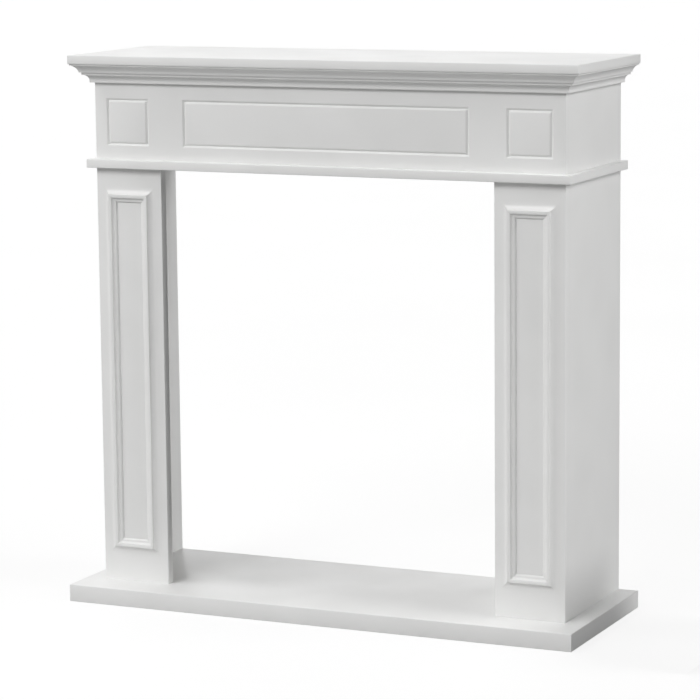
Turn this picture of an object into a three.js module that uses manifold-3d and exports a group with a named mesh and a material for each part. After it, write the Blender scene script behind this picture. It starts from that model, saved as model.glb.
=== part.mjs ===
// A freestanding fireplace mantelpiece made of lacquered boards and mouldings.
// Millimetres, +Z up. The front faces -Y and the back is one flat plane that stands against a wall.
// The origin is on the floor, in the middle of the base slab's footprint.

import * as THREE from 'three';
import { mergeVertices } from 'three/addons/utils/BufferGeometryUtils.js';
import Module from 'manifold-3d';

const wasm = await Module();
wasm.setup();

// The body: two legs and a frieze that share one front plane and one width
const bodyWidth = 926;
const bodyDepth = 283;
const legWidth = 134;
const frontBoard = 18;
const sideBoard = 16;

// Heights, from the floor up
const baseThickness = 32;
const openingHeight = 780;
const bandThickness = 16;
const friezeHeight = 141;
const crownHeight = 35;
const shelfThickness = 16;

// How far each layer stands out past the body
const baseSideStep = 38;
const baseFrontStep = 72;
const bandStep = 14;
const shelfOverhang = 37;

// The glue line that is left between two pieces that meet
const seam = 0.3;

// The applied moulding that frames a panel on each leg
const mouldWidth = 29;
const mouldSideMargin = 13;
const mouldTopMargin = 35;
const mouldFootMargin = 53;
const mouldInnerRise = 2.9;
const mouldInnerRun = 3.2;
const mouldLedge = 2.2;
const mouldLedgeRise = 0.4;
const mouldHollowRun = 3.8;
const mouldFaceInner = 7.7;
const mouldFaceRun = 6.2;
const mouldCrest = 8.8;
const mouldEdge = 0.6;

// The grooves cut in the frieze: three frames, the middle one long
const grooveWidth = 7;
const grooveDepth = 3.2;
const grooveTip = 0.4;
const frameHeight = 80;
const squareWidth = 80;
const frameGap = 77;
const frameDrop = 32;

// The crown's profile, as distances out from the body and up from its underside
const crownFoot = 7;
const crownFootLip = 3.5;
const lowerCoveRun = 9.8;
const lowerCoveRise = 10.8;
const middleLipStep = 1;
const middleLip = 4.6;
const upperStep = 3.6;
const upperStepLip = 1.4;
const upperCoveRun = 11.8;
const upperCoveRise = 10.7;
const topLipStep = 1;

// How finely the curves of the mouldings are cut
const coveSteps = 8;
const hollowSteps = 5;

// Levels and planes that follow from the sizes above
const bandUnderside = baseThickness + openingHeight;
const bandTop = bandUnderside + bandThickness;
const crownUnderside = bandTop + friezeHeight;
const shelfUnderside = crownUnderside + crownHeight;
const baseDepth = bodyDepth + baseFrontStep;
const backY = baseDepth / 2;
const frontY = backY - bodyDepth;
const sideDepth = bodyDepth - frontBoard - seam;
const mitreTrim = seam / Math.SQRT2;

const lacquer = { color: 0xf1f0ec, roughness: 0.32, metalness: 0 };
const sides = [['left', -1], ['right', 1]];
const outward = new THREE.Vector3(0, -1, 0);
const upward = new THREE.Vector3(0, 0, 1);

const mantelpiece = new THREE.Group();

function addPiece(name, geometry) {
  const mesh = new THREE.Mesh(geometry, new THREE.MeshStandardMaterial(lacquer));
  mesh.name = name;
  mantelpiece.add(mesh);
  return mesh;
}

// A flat board, given by its lowest and highest corners
function addBoard(name, low, high) {
  const size = high.map((value, axis) => value - low[axis]);
  const board = addPiece(name, new THREE.BoxGeometry(...size));
  board.position.set(...high.map((value, axis) => (value + low[axis]) / 2));
  return board;
}

// Turns a piece so that its own X runs across, its Y runs up off the face and its Z along
function placePiece(piece, corner, across, up) {
  const along = new THREE.Vector3().crossVectors(across, up);
  piece.quaternion.setFromRotationMatrix(new THREE.Matrix4().makeBasis(across, up, along));
  piece.position.copy(corner);
}

// A length of moulding along +Z, whose ends lean outwards at 45 degrees where it is mitred
function mouldingLength(outline, length, leanAtStart, leanAtEnd) {
  const shape = new THREE.Shape(outline);
  const geometry = new THREE.ExtrudeGeometry(shape, { depth: length, bevelEnabled: false });
  const points = geometry.attributes.position;
  for (let i = 0; i < points.count; i += 1) {
    const across = points.getX(i);
    const atEnd = points.getZ(i) > length / 2;
    const shift = atEnd ? leanAtEnd * across : -leanAtStart * across;
    points.setZ(i, points.getZ(i) + shift);
  }
  return geometry;
}

// A hollow quarter curve from one point to another, upright at its start or at its end
function coveCurve(from, to, uprightAtStart, steps) {
  const centre = uprightAtStart ? new THREE.Vector2(to.x, from.y) : new THREE.Vector2(from.x, to.y);
  const points = [];
  for (let i = 1; i <= steps; i += 1) {
    const turn = (i / steps) * (Math.PI / 2);
    const away = uprightAtStart ? Math.cos(turn) : Math.sin(turn);
    const level = uprightAtStart ? Math.sin(turn) : Math.cos(turn);
    const reachX = (uprightAtStart ? from.x : to.x) - centre.x;
    const reachY = (uprightAtStart ? to.y : from.y) - centre.y;
    points.push(new THREE.Vector2(centre.x + reachX * away, centre.y + reachY * level));
  }
  return points;
}

// The crown's outline: two coves with small lips between them
function crownOutline() {
  const height = crownHeight - seam;
  const lowerStart = new THREE.Vector2(crownFoot, crownFootLip);
  const lowerEnd = new THREE.Vector2(crownFoot + lowerCoveRun, crownFootLip + lowerCoveRise);
  const lipX = lowerEnd.x + middleLipStep;
  const lipTop = lowerEnd.y + middleLip;
  const upperStart = new THREE.Vector2(lipX + upperStep, lipTop + upperStepLip);
  const upperEnd = new THREE.Vector2(upperStart.x + upperCoveRun, upperStart.y + upperCoveRise);
  const topX = upperEnd.x + topLipStep;
  return [
    new THREE.Vector2(0, 0),
    new THREE.Vector2(crownFoot, 0),
    lowerStart,
    ...coveCurve(lowerStart, lowerEnd, true, coveSteps),
    new THREE.Vector2(lipX, lowerEnd.y),
    new THREE.Vector2(lipX, lipTop),
    new THREE.Vector2(upperStart.x, lipTop),
    upperStart,
    ...coveCurve(upperStart, upperEnd, true, coveSteps),
    new THREE.Vector2(topX, upperEnd.y),
    new THREE.Vector2(topX, height),
    new THREE.Vector2(0, height),
  ];
}

// The panel moulding's outline, from its inner foot to its outer edge
function mouldOutline() {
  const hollowStart = new THREE.Vector2(mouldInnerRun + mouldLedge, mouldInnerRise + mouldLedgeRise);
  const hollowEnd = new THREE.Vector2(hollowStart.x + mouldHollowRun, mouldFaceInner);
  const crest = new THREE.Vector2(hollowEnd.x + mouldFaceRun, mouldCrest);
  const outerEdge = new THREE.Vector2(mouldWidth, mouldEdge);
  return [
    new THREE.Vector2(0, 0),
    new THREE.Vector2(mouldInnerRun, mouldInnerRise),
    hollowStart,
    ...coveCurve(hollowStart, hollowEnd, false, hollowSteps),
    crest,
    ...coveCurve(crest, outerEdge, true, coveSteps),
    new THREE.Vector2(mouldWidth, 0),
  ].reverse();
}

function toSolid(geometry) {
  const bare = geometry.clone();
  bare.deleteAttribute('normal');
  bare.deleteAttribute('uv');
  const merged = mergeVertices(bare, 1e-4);
  return new wasm.Manifold(new wasm.Mesh({
    numProp: 3,
    vertProperties: merged.attributes.position.array,
    triVerts: new Uint32Array(merged.index.array),
  }));
}

function toGeometry(solid) {
  const mesh = solid.getMesh();
  const geometry = new THREE.BufferGeometry();
  geometry.setAttribute('position', new THREE.BufferAttribute(mesh.vertProperties, 3));
  geometry.setIndex(new THREE.BufferAttribute(mesh.triVerts, 1));
  geometry.computeVertexNormals();
  return geometry;
}

function rectangle(kind, width, height) {
  const outline = new kind();
  outline.moveTo(-width / 2, -height / 2);
  outline.lineTo(width / 2, -height / 2);
  outline.lineTo(width / 2, height / 2);
  outline.lineTo(-width / 2, height / 2);
  outline.closePath();
  return outline;
}

// The material that a pointed router bit takes out along one rectangular frame
function grooveCut(centreX, centreZ, width) {
  const ring = rectangle(THREE.Shape, width + grooveTip, frameHeight + grooveTip);
  ring.holes.push(rectangle(THREE.Path, width - grooveTip, frameHeight - grooveTip));
  const cut = new THREE.ExtrudeGeometry(ring, {
    depth: grooveDepth,
    bevelEnabled: true,
    bevelThickness: grooveDepth,
    bevelSize: (grooveWidth - grooveTip) / 2,
    bevelSegments: 1,
  });
  cut.rotateX(Math.PI / 2);
  cut.translate(centreX, frontY, centreZ);
  return toSolid(cut);
}

// The base slab lies on the floor and carries the legs
addBoard('base_slab',
  [-bodyWidth / 2 - baseSideStep, -baseDepth / 2, 0],
  [bodyWidth / 2 + baseSideStep, baseDepth / 2, baseThickness]);

// Each leg is a front board with a side board behind its outer edge
for (const [side, sign] of sides) {
  const legLow = baseThickness + seam;
  const legHigh = bandUnderside - seam;
  const outer = sign * bodyWidth / 2;
  const inner = outer - sign * legWidth;
  const behind = outer - sign * sideBoard;
  addBoard(`leg_front_${side}`,
    [Math.min(outer, inner), frontY, legLow],
    [Math.max(outer, inner), frontY + frontBoard, legHigh]);
  addBoard(`leg_side_${side}`,
    [Math.min(outer, behind), backY - sideDepth, legLow],
    [Math.max(outer, behind), backY, legHigh]);
}

// Four mitred lengths of moulding frame a tall panel on the front of each leg
const panelWidth = legWidth - 2 * (mouldSideMargin + mouldWidth);
const panelHigh = bandUnderside - mouldTopMargin - mouldWidth;
const panelLow = baseThickness + mouldFootMargin + mouldWidth;
const panelHeight = panelHigh - panelLow;

for (const [side, sign] of sides) {
  const centre = new THREE.Vector3(
    sign * (bodyWidth - legWidth) / 2, frontY - seam, (panelHigh + panelLow) / 2);
  const lengths = [
    ['top', new THREE.Vector3(0, 0, 1), panelHeight, panelWidth],
    ['foot', new THREE.Vector3(0, 0, -1), panelHeight, panelWidth],
    ['outer', new THREE.Vector3(sign, 0, 0), panelWidth, panelHeight],
    ['inner', new THREE.Vector3(-sign, 0, 0), panelWidth, panelHeight],
  ];
  for (const [edge, across, reach, run] of lengths) {
    const length = run - 2 * mitreTrim;
    const along = new THREE.Vector3().crossVectors(across, outward);
    const corner = centre.clone()
      .addScaledVector(across, reach / 2)
      .addScaledVector(along, -length / 2);
    const piece = addPiece(`panel_mould_${side}_${edge}`, mouldingLength(mouldOutline(), length, 1, 1));
    placePiece(piece, corner, across, outward);
  }
}

// The band board lies on the legs and carries the frieze
addBoard('band_board',
  [-bodyWidth / 2 - bandStep, frontY - bandStep, bandUnderside],
  [bodyWidth / 2 + bandStep, backY, bandTop]);

// The frieze runs from the band up to the shelf, behind the crown
const friezeLow = bandTop + seam;
const friezeHigh = shelfUnderside - seam;
const frieze = addBoard('frieze_front',
  [-bodyWidth / 2, frontY, friezeLow],
  [bodyWidth / 2, frontY + frontBoard, friezeHigh]);
const frameCentreZ = crownUnderside - frameDrop - frameHeight / 2;
const squareCentreX = (bodyWidth - legWidth) / 2;
const longFrameWidth = 2 * (squareCentreX - squareWidth / 2 - frameGap);
const grooves = [
  [0, longFrameWidth],
  [-squareCentreX, squareWidth],
  [squareCentreX, squareWidth],
];
frieze.geometry.translate(...frieze.position);
frieze.position.set(0, 0, 0);
let grooved = toSolid(frieze.geometry);
for (const [centreX, width] of grooves) {
  grooved = grooved.subtract(grooveCut(centreX, frameCentreZ, width));
}
frieze.geometry = toGeometry(grooved);

for (const [side, sign] of sides) {
  const outer = sign * bodyWidth / 2;
  const behind = outer - sign * sideBoard;
  addBoard(`frieze_side_${side}`,
    [Math.min(outer, behind), backY - sideDepth, friezeLow],
    [Math.max(outer, behind), backY, friezeHigh]);
}

// The crown: a front length mitred at both ends, and two returns that run to the back
const crownX = bodyWidth / 2 + seam;
const crownY = frontY - seam;
const crownFrontLength = 2 * crownX - 2 * mitreTrim;
const crownReturnLength = backY - crownY - mitreTrim;

placePiece(
  addPiece('crown_front', mouldingLength(crownOutline(), crownFrontLength, 1, 1)),
  new THREE.Vector3(crownFrontLength / 2, crownY, crownUnderside), outward, upward);
placePiece(
  addPiece('crown_right', mouldingLength(crownOutline(), crownReturnLength, 0, 1)),
  new THREE.Vector3(crownX, backY, crownUnderside), new THREE.Vector3(1, 0, 0), upward);
placePiece(
  addPiece('crown_left', mouldingLength(crownOutline(), crownReturnLength, 1, 0)),
  new THREE.Vector3(-crownX, backY - crownReturnLength, crownUnderside),
  new THREE.Vector3(-1, 0, 0), upward);

// The shelf overhangs the front and both ends by the same amount
addBoard('shelf_board',
  [-bodyWidth / 2 - shelfOverhang, frontY - shelfOverhang, shelfUnderside],
  [bodyWidth / 2 + shelfOverhang, backY, shelfUnderside + shelfThickness]);

export default mantelpiece;
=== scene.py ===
# %% [markdown]
# # A lacquered fireplace mantelpiece
#
# The real mantelpiece is joinery: fibreboard sawn to size, routed, mitred and sprayed white.
# A white object shows very little colour, so the eye reads it by its edges, its grooves and the
# way light falls off each moulding. This lesson spends its effort there: every sawn edge gets a
# small rounding, every moulding gets its true curve, and every joint keeps its hairline.
#
# The joinery itself comes from the CAD frame, so we load it first.

# %% Load the joinery
import math

import bmesh
import bpy
from mathutils import Matrix, Vector


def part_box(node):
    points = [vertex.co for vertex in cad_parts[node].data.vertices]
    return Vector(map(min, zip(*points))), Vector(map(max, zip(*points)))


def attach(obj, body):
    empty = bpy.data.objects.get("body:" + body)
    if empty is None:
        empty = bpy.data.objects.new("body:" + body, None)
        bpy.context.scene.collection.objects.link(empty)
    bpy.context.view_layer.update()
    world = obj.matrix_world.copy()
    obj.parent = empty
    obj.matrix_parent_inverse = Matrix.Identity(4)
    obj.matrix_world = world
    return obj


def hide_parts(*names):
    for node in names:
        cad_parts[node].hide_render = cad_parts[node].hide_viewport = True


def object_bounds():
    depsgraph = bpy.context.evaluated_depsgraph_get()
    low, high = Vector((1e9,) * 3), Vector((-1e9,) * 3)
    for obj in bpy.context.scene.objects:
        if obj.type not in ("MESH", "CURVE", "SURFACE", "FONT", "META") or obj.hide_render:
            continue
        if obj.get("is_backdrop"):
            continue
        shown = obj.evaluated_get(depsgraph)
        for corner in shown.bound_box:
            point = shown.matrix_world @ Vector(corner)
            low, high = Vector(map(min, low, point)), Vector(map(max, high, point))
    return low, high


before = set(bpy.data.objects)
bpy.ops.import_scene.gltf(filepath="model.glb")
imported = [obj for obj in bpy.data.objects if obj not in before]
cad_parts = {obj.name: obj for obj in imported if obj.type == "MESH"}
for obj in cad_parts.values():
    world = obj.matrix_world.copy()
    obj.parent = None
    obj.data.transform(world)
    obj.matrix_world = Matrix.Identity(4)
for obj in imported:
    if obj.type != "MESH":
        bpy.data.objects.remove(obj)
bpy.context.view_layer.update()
print("boards and mouldings:", len(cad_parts))

# %% [markdown]
# ## The camera
#
# The picture was taken from the right, a little above the shelf, with a long lens, so the
# verticals stay almost parallel. Turning the camera by named angles, in the order
# heading, tilt, roll, keeps each number readable: a heading of 0 looks straight at the wall.

# %% Set up the camera
SENSOR_MM = 36
LENS_MM = 157.2
EYE = Vector((2.309, -5.050, 1.355))
HEADING = math.radians(24.56)
TILT_DOWN = math.radians(8.96)
ROLL = math.radians(-0.55)

camera_data = bpy.data.cameras.new("camera")
camera_data.sensor_width = SENSOR_MM
camera_data.lens = LENS_MM
camera = bpy.data.objects.new("camera", camera_data)
bpy.context.scene.collection.objects.link(camera)
camera.matrix_world = (
    Matrix.Translation(EYE)
    @ Matrix.Rotation(HEADING, 4, "Z")
    @ Matrix.Rotation(math.radians(90) - TILT_DOWN, 4, "X")
    @ Matrix.Rotation(ROLL, 4, "Z")
)
bpy.context.scene.camera = camera
print("camera stands", round(EYE.xy.length, 2), "m away and", EYE.z, "m up")

# %% [markdown]
# ## One helper for material nodes
#
# A material is a chain of small nodes. One function that adds a node, sets its values and plugs
# in its inputs keeps each recipe short. Patterns use Object coordinates, which are metres here,
# so a pattern's scale is one over its real size. Colours are written as on a paint card, in
# sRGB hex, and one function turns them to the linear numbers that shaders work in.

# %% Write the material helpers
MM = 0.001


def linear(hex_colour):
    channels = [int(hex_colour[i:i + 2], 16) / 255 for i in (1, 3, 5)]
    return [c / 12.92 if c <= 0.04045 else ((c + 0.055) / 1.055) ** 2.4 for c in channels] + [1.0]


def new_material(name):
    material = bpy.data.materials.new(name)
    material.use_nodes = True
    material.node_tree.nodes.clear()
    return material


def add_node(material, kind, settings=(), **inputs):
    """Adds a node. An input is a plain value, or another node's output to link from."""
    node = material.node_tree.nodes.new(kind)
    for name, value in dict(settings).items():
        setattr(node, name, value)
    for name, value in inputs.items():
        socket = node.inputs[name.replace("_", " ")]
        if isinstance(value, bpy.types.NodeSocket):
            material.node_tree.links.new(value, socket)
        else:
            socket.default_value = value
    return node


def blotches(material, size_mm, detail=2.0):
    """A soft random pattern whose blotches are about size_mm across"""
    place = add_node(material, "ShaderNodeTexCoord").outputs["Object"]
    noise = add_node(material, "ShaderNodeTexNoise", Vector=place, Scale=1 / (size_mm * MM), Detail=detail)
    return noise.outputs["Fac"]


# Random patterns keep to the middle of their range, so this stretch uses what is there
NOISE_LOW = 0.35
NOISE_HIGH = 0.65


def between(material, pattern, low, high):
    stretched = add_node(material, "ShaderNodeMapRange", Value=pattern, From_Min=NOISE_LOW,
                         From_Max=NOISE_HIGH, To_Min=low, To_Max=high)
    return stretched.outputs["Result"]


def shades(material, pattern, first, second):
    ramp = add_node(material, "ShaderNodeValToRGB", Fac=pattern)
    start, end = ramp.color_ramp.elements
    start.position, end.position = NOISE_LOW, NOISE_HIGH
    start.color, end.color = linear(first), linear(second)
    return ramp.outputs["Color"]


print("helpers ready, white paint in linear numbers:", [round(c, 3) for c in linear("#F3F3F2")])

# %% [markdown]
# ## Satin lacquer
#
# The visible faces are fibreboard sprayed with white satin polyurethane lacquer. Sprayed lacquer
# isn't a perfect mirror: it dries with a faint orange peel, a ripple a few millimetres across
# that you only see where light grazes it. The film also varies a little in thickness, so its
# white and its gloss drift by a few per cent over a hand's width.
#
# We could leave the paint one flat colour, but then every large board would look like plastic.
# Three soft patterns at three real sizes are enough.

# %% Mix the lacquers
FILM_MM = 160
SHEEN_MM = 70
PEEL_DEPTH_MM = 0.02


def sprayed_lacquer(name, first, second, gloss_low, gloss_high, peel_mm, peel_strength):
    """Satin polyurethane lacquer. Clear plastics like it bend light by an IOR of about 1.5."""
    paint = new_material(name)
    film = blotches(paint, FILM_MM)
    sheen = blotches(paint, SHEEN_MM)
    peel = blotches(paint, peel_mm, detail=1.0)
    relief = add_node(paint, "ShaderNodeBump", Height=peel, Strength=peel_strength,
                      Distance=PEEL_DEPTH_MM * MM)
    shader = add_node(
        paint, "ShaderNodeBsdfPrincipled",
        Base_Color=shades(paint, film, first, second),
        Roughness=between(paint, sheen, gloss_low, gloss_high),
        IOR=1.5,
        Normal=relief.outputs["Normal"],
    )
    add_node(paint, "ShaderNodeOutputMaterial", Surface=shader.outputs["BSDF"])
    return paint


board_lacquer = sprayed_lacquer("satin_lacquer_on_board", "#F3F3F2", "#EFEFEE", 0.31, 0.39, 5, 0.35)
moulding_lacquer = sprayed_lacquer("satin_lacquer_on_moulding", "#F3F3F2", "#F0F0EF", 0.29, 0.35, 4, 0.25)
print("lacquers:", board_lacquer.name, "and", moulding_lacquer.name)

# %% [markdown]
# ## Primed board
#
# Nobody sees the back of a mantelpiece, so the maker stops at the primer there: a thin, matt,
# slightly creamy coat. The insides of the legs show through the opening, so they are lacquered.
#
# The fibres of the board stand up under the primer as a fine fuzz. They are about 0.3 mm long,
# too fine to show from across a room, so the fuzz is drawn at 1.5 mm.

# %% Mix the primer
PRIMER_PATCH_MM = 45
FUZZ_MM = 1.5
FUZZ_DEPTH_MM = 0.08

primer = new_material("matt_primer_on_board")
fuzz = add_node(primer, "ShaderNodeBump", Height=blotches(primer, FUZZ_MM, detail=4.0), Strength=0.5,
                Distance=FUZZ_DEPTH_MM * MM)
primer_shader = add_node(
    primer, "ShaderNodeBsdfPrincipled",
    Base_Color=shades(primer, blotches(primer, PRIMER_PATCH_MM, detail=5.0), "#ECEAE5", "#E6E3DC"),
    Roughness=0.78,
    IOR=1.5,
    Normal=fuzz.outputs["Normal"],
)
add_node(primer, "ShaderNodeOutputMaterial", Surface=primer_shader.outputs["BSDF"])
print("hidden faces get", primer.name)

# %% [markdown]
# ## Finishing a piece
#
# Every piece ends the same way. Its mesh becomes an object that takes the place of one CAD node, which is
# hidden, rides with the body and gets its finishes. Faces are shaded smooth, but an edge that turns by
# more than a set angle stays crisp, so curves look round and corners look cut.

# %% Write the finishing step
CRISP_ABOVE = math.radians(32)


def finish_piece(shape, name, node, finishes):
    bmesh.ops.recalc_face_normals(shape, faces=shape.faces)
    for face in shape.faces:
        face.smooth = True
    mesh = bpy.data.meshes.new(name)
    shape.to_mesh(mesh)
    shape.free()
    mesh.set_sharp_from_angle(angle=CRISP_ABOVE)
    for finish in finishes:
        mesh.materials.append(finish)
    piece = bpy.data.objects.new(name, mesh)
    bpy.context.scene.collection.objects.link(piece)
    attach(piece, "root")
    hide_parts(node)
    return piece


# %% [markdown]
# ## Boards
#
# A board is a box, but never a perfect one. Its free edges are eased with sandpaper to about a
# millimetre so that the lacquer holds on them, and that tiny round is what catches the light.
# An edge that is glued against another board stays nearly sharp, so the joint closes up. The CAD
# leaves a seam of 0.3 mm under each standing board, and here the lacquer has filled it.
#
# So each board starts as a cube stretched to its CAD box. Then two bevels follow: a wide one on
# the free edges and a narrow one on the glued edges. Faces that turn away from the room get
# primer.

# %% Write the board maker
EASED_MM = 1.1
GLUED_MM = 0.25
SEAM_MM = 0.3
TOUCHING = 1e-5

# Which axis a side of the box is on, and whether it is at the low or the high corner
SIDES = {"left": (0, 0), "right": (0, 1), "front": (1, 0), "back": (1, 1), "bottom": (2, 0), "top": (2, 1)}


def lies_on(part, side, corners):
    """True if all of an edge or a face lies on one side of the board's box"""
    axis, end = SIDES[side]
    return all(abs(vert.co[axis] - corners[end][axis]) < TOUCHING for vert in part.verts)


def round_edges(shape, edges, radius_mm, segments=3):
    bmesh.ops.bevel(shape, geom=edges, offset=radius_mm * MM, offset_type="OFFSET", affect="EDGES",
                    segments=segments, profile=0.5, material=-1, clamp_overlap=True)


def sawn_board(node, stands=True):
    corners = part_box(node)
    if stands:
        corners[0].z -= SEAM_MM * MM
    shape = bmesh.new()
    bmesh.ops.create_cube(shape, size=1)
    bmesh.ops.scale(shape, vec=corners[1] - corners[0], verts=shape.verts)
    bmesh.ops.translate(shape, vec=(corners[0] + corners[1]) / 2, verts=shape.verts)
    return shape, corners


def prime_sides(shape, corners, sides):
    """Gives the primer, the second finish, to the faces on these sides"""
    for face in shape.faces:
        if any(lies_on(face, side, corners) for side in sides):
            face.material_index = 1


def ease_board(shape, corners, glued_sides):
    glued = [edge for edge in shape.edges if any(lies_on(edge, side, corners) for side in glued_sides)]
    free = [edge for edge in shape.edges if edge not in glued]
    round_edges(shape, free, EASED_MM)
    still_glued = [edge for edge in shape.edges if edge.calc_face_angle(0) > CRISP_ABOVE]
    round_edges(shape, still_glued, GLUED_MM, segments=1)


def make_board(node, glued_sides=(), primed_sides=("back",)):
    """Makes one board. A board that is glued underneath stands on the one below it."""
    shape, corners = sawn_board(node, stands="bottom" in glued_sides)
    prime_sides(shape, corners, primed_sides)
    ease_board(shape, corners, glued_sides)
    return finish_piece(shape, f"{node}_eased", node, [board_lacquer, primer])


# %% [markdown]
# ## The plain boards
#
# The base slab lies on the floor, so its underside is only primed. Each leg is two boards: a
# front, and a side that runs back to the wall behind the front's outer edge. The band caps the
# legs, and the shelf caps everything.

# %% Make the base, legs, band and shelf
plain_boards = [
    make_board("base_slab", primed_sides=("back", "bottom")),
    make_board("band_board"),
    make_board("shelf_board"),
]
ENDS = ("top", "bottom")
for side, inner in (("left", "right"), ("right", "left")):
    plain_boards += [
        make_board(f"leg_front_{side}", glued_sides=(*ENDS, "back")),
        make_board(f"leg_side_{side}", glued_sides=(*ENDS, "front")),
        make_board(f"frieze_side_{side}", glued_sides=(*ENDS, "front"), primed_sides=("back", inner)),
    ]
print("plain boards:", [board.name for board in plain_boards])

# %% [markdown]
# ## The frieze and its grooves
#
# The frieze has three frames cut by a pointed router bit: a square over each leg and a long one
# between them. The bit leaves a V with two slopes and a narrow flat at its tip.
#
# A boolean could cut that, but insets are cleaner. We slice the board along the outer rim of
# each frame, so that each frame becomes a face of its own. Insetting that face three times then
# cuts the V: down the outer slope, across the tip and up the inner slope. The mitred corners
# come for free. The rims are rounded last, because lacquer never leaves them sharp.

# %% Cut the grooves
GROOVE_MM = 7
GROOVE_TIP_MM = 0.4
GROOVE_DEPTH_MM = 3.2
FRAME_HEIGHT_MM = 80
FRAME_DROP_MM = 32
SQUARE_MM = 80
FRAME_GAP_MM = 77
RIM_MM = 0.7

shape, corners = sawn_board("frieze_front")
slope = (GROOVE_MM - GROOVE_TIP_MM) / 2 * MM
depth = GROOVE_DEPTH_MM * MM
leg_low, leg_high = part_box("leg_front_right")
square_x = (leg_low.x + leg_high.x) / 2
square_half = SQUARE_MM * MM / 2
long_half = square_x - square_half - FRAME_GAP_MM * MM
frame_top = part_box("crown_front")[0].z - FRAME_DROP_MM * MM
frame_bottom = frame_top - FRAME_HEIGHT_MM * MM
rim = GROOVE_MM * MM / 2
frames_x = [(-square_x, square_half), (0.0, long_half), (square_x, square_half)]


def slice_board(shape, point, normal):
    everything = shape.verts[:] + shape.edges[:] + shape.faces[:]
    bmesh.ops.bisect_plane(shape, geom=everything, plane_co=point, plane_no=normal)


for z in (frame_top + rim, frame_bottom - rim):
    slice_board(shape, (0, 0, z), (0, 0, 1))
for centre_x, half in frames_x:
    for x in (centre_x - half - rim, centre_x + half + rim):
        slice_board(shape, (x, 0, 0), (1, 0, 0))


def is_frame(face):
    centre = face.calc_center_median()
    inside = any(abs(centre.x - x) < half for x, half in frames_x)
    return lies_on(face, "front", corners) and frame_bottom < centre.z < frame_top and inside


frames = [face for face in shape.faces if is_frame(face)]
print("frames to cut:", len(frames))
for width, rise in ((slope, -depth), (GROOVE_TIP_MM * MM, 0.0), (slope, depth)):
    bmesh.ops.inset_individual(shape, faces=frames, thickness=width, depth=rise, use_even_offset=True)

# %% [markdown]
# The slicing left flat seams across the whole board. They don't show, but the rounding must
# skip them, so it only takes edges where two faces really meet at an angle.

# %% Round the rims and finish the frieze
GLUED_SIDES = ("top", "bottom", "back")
TURNS_ABOVE = math.radians(17)

prime_sides(shape, corners, ("back",))
rims = []
for edge in shape.edges:
    glued = any(lies_on(edge, side, corners) for side in GLUED_SIDES)
    if edge.calc_face_angle(0) > TURNS_ABOVE and not glued:
        rims.append(edge)
round_edges(shape, rims, RIM_MM, segments=2)
frieze = finish_piece(shape, "frieze_front_grooved", "frieze_front", [board_lacquer, primer])
print(frieze.name, "has", len(frieze.data.polygons), "faces")

# %% [markdown]
# ## Lengths of moulding
#
# Mouldings are milled in long lengths and mitred at 45 degrees. So we do the same: draw the
# outline as one flat face, extrude it, and lean its ends. A shear does the mitre: a point
# further out on the outline moves further along the length.
#
# An outline is a chain of straight runs and hollow quarter curves, in millimetres across and
# up. A quarter curve is upright either where it starts or where it ends. Some hollows are
# shallower than a quarter curve, and their fullness says how much of it they keep.

# %% Write the moulding maker
ARRIS_MM = 0.35
CURVE_STEPS = 16


def hollow(start, end, upright_first, fullness=1.0):
    """The points of a hollow, after its start. At fullness 1 it is a quarter curve, at 0 straight."""
    points = []
    for step in range(1, CURVE_STEPS + 1):
        turn = math.radians(90) * step / CURVE_STEPS
        even = step / CURVE_STEPS
        early = even + fullness * (math.sin(turn) - even)
        late = even + fullness * (1 - math.cos(turn) - even)
        across, up = (late, early) if upright_first else (early, late)
        points.append((start[0] + (end[0] - start[0]) * across, start[1] + (end[1] - start[1]) * up))
    return points


def mill_length(outline_mm, length, lean_start, lean_end):
    """A length of moulding along +Z, with its back on X = 0 or Y = 0"""
    shape = bmesh.new()
    section = shape.faces.new([shape.verts.new((x * MM, y * MM, 0)) for x, y in outline_mm])
    extruded = bmesh.ops.extrude_face_region(shape, geom=[section], use_keep_orig=True)["geom"]
    far_end = [part for part in extruded if isinstance(part, bmesh.types.BMVert)]
    near_end = [vert for vert in shape.verts if vert not in far_end]
    bmesh.ops.translate(shape, vec=(0, 0, length), verts=far_end)
    for verts, lean in ((near_end, -lean_start), (far_end, lean_end)):
        bmesh.ops.transform(shape, matrix=Matrix.Shear("YZ", 4, (0, lean)), verts=verts)
    bmesh.ops.recalc_face_normals(shape, faces=shape.faces)
    return shape


def soften_arrises(shape):
    """Rounds the corners that run along the length, and leaves the ends sharp for the joint"""
    ends = {edge for face in shape.faces if len(face.verts) > 4 for edge in face.edges}
    corners = [edge for edge in shape.edges if edge not in ends and edge.calc_face_angle(0) > CRISP_ABOVE]
    round_edges(shape, corners, ARRIS_MM, segments=2)


def place_length(shape, corner, across, up):
    """Turns the outline's X and Y to the directions across and up, and moves it to its corner"""
    across, up = Vector(across), Vector(up)
    turn = Matrix((across, up, across.cross(up))).transposed().to_4x4()
    bmesh.ops.transform(shape, matrix=Matrix.Translation(corner) @ turn, verts=shape.verts)


# %% [markdown]
# ## The framed panels
#
# Each leg carries a frame of bolection moulding, planted on its face: a high rounded ridge that
# falls to the outside in one broad hollow, and to the inside in a slope, a small ledge and a
# tight hollow. The frame is four mitred lengths. The hollow runs out to a feather edge, and
# lacquer blends it into the face, so no line shows there.
#
# The two lengths that run across are as wide as the panel inside the frame plus the mitres, so
# all four come from the CAD boxes and one outline.

# %% Mill the panel frames
PANEL_WIDTH_MM = 29
INNER_SLOPE_MM = (2.6, 2.9)
INNER_LEDGE_MM = (4.9, 3.3)
INNER_HOLLOW_END_MM = (9.2, 7.7)
CREST_MM = (15.4, 8.8)
HOLLOW_FOOT_MM = (26.3, 0.1)
FEATHER_EDGE_MM = (29, 0)

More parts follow.
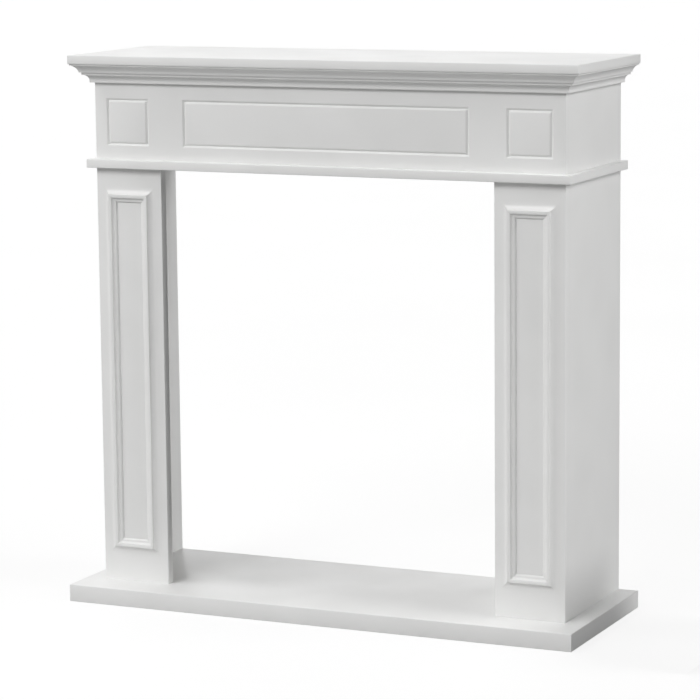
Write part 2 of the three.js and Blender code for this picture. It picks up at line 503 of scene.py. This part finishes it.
panel_outline = [(0, 0), INNER_SLOPE_MM, INNER_LEDGE_MM]
panel_outline += hollow(INNER_LEDGE_MM, INNER_HOLLOW_END_MM, upright_first=False)
panel_outline += [CREST_MM]
panel_outline += hollow(CREST_MM, HOLLOW_FOOT_MM, upright_first=True)
panel_outline += [FEATHER_EDGE_MM]

FORWARD = (0, -1, 0)
panel_pieces = []
for side, outward in (("left", -1), ("right", 1)):
    edges = {"top": (0, 0, 1), "foot": (0, 0, -1), "outer": (outward, 0, 0), "inner": (-outward, 0, 0)}
    for edge, across in edges.items():
        node = f"panel_mould_{side}_{edge}"
        low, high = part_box(node)
        along = Vector(across).cross(Vector(FORWARD))
        full = (high - low).dot(Vector([abs(a) for a in along]))
        length = full - 2 * PANEL_WIDTH_MM * MM
        outer_side = Vector([high[i] if across[i] > 0 else low[i] for i in range(3)])
        centre = (low + high) / 2
        corner = Vector([outer_side[i] if across[i] else centre[i] for i in range(3)])
        corner -= Vector(across) * PANEL_WIDTH_MM * MM + along * length / 2
        corner.y = high.y
        shape = mill_length(panel_outline, length, 1, 1)
        soften_arrises(shape)
        place_length(shape, corner, across, FORWARD)
        panel_pieces.append(
            finish_piece(shape, f"{node}_milled", node, [moulding_lacquer]))
print("panel lengths:", len(panel_pieces))

# %% [markdown]
# ## The crown
#
# Under the shelf sits a crown moulding of two hollows, one above the other, each with a small
# lip. The upper hollow is shallower than the lower one, so it holds less shade. The crown is
# mitred at both front corners, and its returns run back to the wall, where they are cut square.

# %% Mill the crown
FOOT_MM = (7, 3.5)
LOWER_HOLLOW_END_MM = (16.8, 14.3)
LIP_MM = (17.8, 18.9)
UPPER_HOLLOW_START_MM = (21.4, 20.3)
UPPER_HOLLOW_END_MM = (33.2, 32.3)
UPPER_HOLLOW_FULLNESS = 0.6
TOP_LIP_MM = (34.2, 35)

crown_outline = [(0, 0), (FOOT_MM[0], 0), FOOT_MM]
crown_outline += hollow(FOOT_MM, LOWER_HOLLOW_END_MM, upright_first=True)
crown_outline += [(LIP_MM[0], LOWER_HOLLOW_END_MM[1]), LIP_MM, (UPPER_HOLLOW_START_MM[0], LIP_MM[1])]
crown_outline += [UPPER_HOLLOW_START_MM]
crown_outline += hollow(UPPER_HOLLOW_START_MM, UPPER_HOLLOW_END_MM, upright_first=True,
                        fullness=UPPER_HOLLOW_FULLNESS)
crown_outline += [(TOP_LIP_MM[0], UPPER_HOLLOW_END_MM[1]), TOP_LIP_MM, (0, TOP_LIP_MM[1])]

UP = (0, 0, 1)
reach = TOP_LIP_MM[0] * MM
front_low, front_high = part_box("crown_front")
front_length = front_high.x - front_low.x - 2 * reach
right_low, right_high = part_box("crown_right")
return_length = right_high.y - right_low.y - reach
crown_cuts = {
    "crown_front": (front_length, 1, 1, (front_length / 2, front_high.y, front_low.z), FORWARD),
    "crown_right": (return_length, 0, 1, (right_low.x, right_high.y, right_low.z), (1, 0, 0)),
    "crown_left": (return_length, 1, 0, (-right_low.x, right_low.y + reach, right_low.z), (-1, 0, 0)),
}
for node, (length, lean_start, lean_end, corner, across) in crown_cuts.items():
    shape = mill_length(crown_outline, length, lean_start, lean_end)
    soften_arrises(shape)
    place_length(shape, corner, across, UP)
    finish_piece(shape, f"{node}_milled", node, [moulding_lacquer])
print("crown front in mm along its back:", round(front_length / MM, 1))
print("each return:", round(return_length / MM, 1))

# %% [markdown]
# ## Floor and backdrop
#
# The picture is a catalogue cut-out: its floor and wall are plain white, and they throw no light
# back into the hollows. A real white floor would, and it would fill the shade under the shelf
# that draws the crown. So the floor and the backdrop are seen by the camera only. Light passes
# through them as if they weren't there.
#
# The floor is a light table, as catalogue studios use. Most of its white is its own glow, so
# shadows on it stay very faint.

# %% Lay the floor and hang the backdrop
FLOOR_RADIUS = 40.0
FLOOR_DROP = 0.0005
FLOOR_PATCH_MM = 900
BACKDROP_RADIUS = 60.0


def set_the_stage(shape, name, paint, only_for_camera=True):
    """Makes a stage object, which light passes through if it is only there for the camera"""
    mesh = bpy.data.meshes.new(name)
    shape.to_mesh(mesh)
    shape.free()
    mesh.materials.append(paint)
    stage = bpy.data.objects.new(name, mesh)
    bpy.context.scene.collection.objects.link(stage)
    if only_for_camera:
        stage.visible_diffuse = False
        stage.visible_glossy = False
        stage.visible_shadow = False
    stage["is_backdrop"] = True
    return stage


table = new_material("matt_white_light_table")
table_shader = add_node(
    table, "ShaderNodeBsdfPrincipled",
    Base_Color=shades(table, blotches(table, FLOOR_PATCH_MM), "#707070", "#6C6C6C"),
    Roughness=0.9,
    IOR=1.4,
    Emission_Color=linear("#FFFFFF"),
    Emission_Strength=0.84,
)
add_node(table, "ShaderNodeOutputMaterial", Surface=table_shader.outputs["BSDF"])
floor_shape = bmesh.new()
bmesh.ops.create_circle(floor_shape, cap_ends=True, segments=64, radius=FLOOR_RADIUS)
bmesh.ops.translate(floor_shape, vec=(0, 0, -FLOOR_DROP), verts=floor_shape.verts)
set_the_stage(floor_shape, "floor", table)

glow = new_material("evenly_lit_backdrop")
glow_shader = add_node(glow, "ShaderNodeEmission", Color=linear("#FCFCFC"), Strength=1.0)
add_node(glow, "ShaderNodeOutputMaterial", Surface=glow_shader.outputs["Emission"])
backdrop_shape = bmesh.new()
bmesh.ops.create_uvsphere(backdrop_shape, u_segments=48, v_segments=24, radius=BACKDROP_RADIUS)
set_the_stage(backdrop_shape, "backdrop", glow)
print("floor radius:", FLOOR_RADIUS, "m, backdrop radius:", BACKDROP_RADIUS, "m")

# %% [markdown]
# ## Light
#
# White lacquer shows its shape only if each direction has its own brightness. So the light is
# four wide, soft lamps, each named by where it stands: degrees round from the front towards the
# right, degrees up, and how wide it looks. They are sun lamps, because a sun's light doesn't
# fall off with distance and so keeps a long board even. The right lamp stands low, so from the
# left its mirror image would bleach the whole shelf. That one lamp is kept out of reflections.
#
# One small softbox stands near the left leg. Its light does fall off, which makes the left leg a
# touch brighter than the right one. A pale glow from below stands for the light that a studio
# floor gives back.
#
# In the photograph two places are in deep shade: the base's right end, which draws the slab's
# thickness, and the edge of the left leg inside the opening. A photographer gets that with black
# cards just out of the picture. Ours stand upright, and the camera doesn't see them.

# %% Hang the lamps
LAMPS = {
    "left": (-53, 42, 45, 0.93),
    "front": (-10, 35, 30, 1.31),
    "right": (95, 28, 40, 2.06),
    "behind_left": (-135, 15, 60, 0.94),
}
LAMP_WITHOUT_MIRROR_IMAGE = "right"
SOFTBOX_PLACE = Vector((-2.2, -1.5, 1.7))
SOFTBOX_AIM = Vector((-0.2, 0.0, 0.5))
SOFTBOX_SIZE = 1.2
SOFTBOX_WATTS = 8
GLOW_FROM_BELOW = 0.34
GLOW_FROM_ABOVE = 0.01
HORIZON_BLUR = 0.05


def hang_lamp(name, kind, towards, strength):
    """A lamp that stands in the direction towards and shines back"""
    data = bpy.data.lights.new(name, kind)
    data.energy = strength
    lamp = bpy.data.objects.new(name, data)
    lamp.rotation_euler = (-towards).to_track_quat("-Z", "Y").to_euler()
    bpy.context.scene.collection.objects.link(lamp)
    return lamp


for name, (around, up, width, strength) in LAMPS.items():
    around, up = math.radians(around), math.radians(up)
    towards = Vector((math.sin(around) * math.cos(up), -math.cos(around) * math.cos(up), math.sin(up)))
    lamp = hang_lamp(f"lamp_{name}", "SUN", towards, strength)
    lamp.data.angle = math.radians(width)
    lamp.visible_glossy = name != LAMP_WITHOUT_MIRROR_IMAGE

softbox = hang_lamp("softbox", "AREA", SOFTBOX_PLACE - SOFTBOX_AIM, SOFTBOX_WATTS)
softbox.location = SOFTBOX_PLACE
softbox.data.size = SOFTBOX_SIZE
softbox.visible_camera = False

# Where each card's middle is, its depth from front to back and its height, in metres
CARDS = {
    "right_of_the_base": ((0.73, -0.05, 0.09), 0.38, 0.18),
    "beside_the_left_leg": ((-0.262, -0.085, 0.44), 0.042, 0.7),
}

black = new_material("matt_black_card")
black_shader = add_node(black, "ShaderNodeBsdfPrincipled", Base_Color=linear("#141414"), Roughness=0.9)
add_node(black, "ShaderNodeOutputMaterial", Surface=black_shader.outputs["BSDF"])
for name, (middle, card_depth, card_height) in CARDS.items():
    shape = bmesh.new()
    bmesh.ops.create_grid(shape, x_segments=1, y_segments=1, size=0.5)
    bmesh.ops.scale(shape, vec=(card_height, card_depth, 1), verts=shape.verts)
    bmesh.ops.rotate(shape, matrix=Matrix.Rotation(math.radians(90), 3, "Y"), verts=shape.verts)
    bmesh.ops.translate(shape, vec=middle, verts=shape.verts)
    card = set_the_stage(shape, f"card_{name}", black, only_for_camera=False)
    card.visible_camera = False

sky = bpy.data.worlds.new("studio_glow")
sky.use_nodes = True
sky.node_tree.nodes.clear()
way = add_node(sky, "ShaderNodeTexCoord").outputs["Generated"]
height = add_node(sky, "ShaderNodeSeparateXYZ", Vector=way).outputs["Z"]
strength = add_node(sky, "ShaderNodeMapRange", Value=height, From_Min=-HORIZON_BLUR, From_Max=HORIZON_BLUR,
                    To_Min=GLOW_FROM_BELOW, To_Max=GLOW_FROM_ABOVE).outputs["Result"]
background = add_node(sky, "ShaderNodeBackground", Strength=strength)
background.inputs["Color"].default_value = linear("#FFFFFF")
add_node(sky, "ShaderNodeOutputWorld", Surface=background.outputs["Background"])
bpy.context.scene.world = sky
bpy.context.scene.view_settings.view_transform = "Standard"

# %% Measure the sizes and finish
low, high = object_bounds()
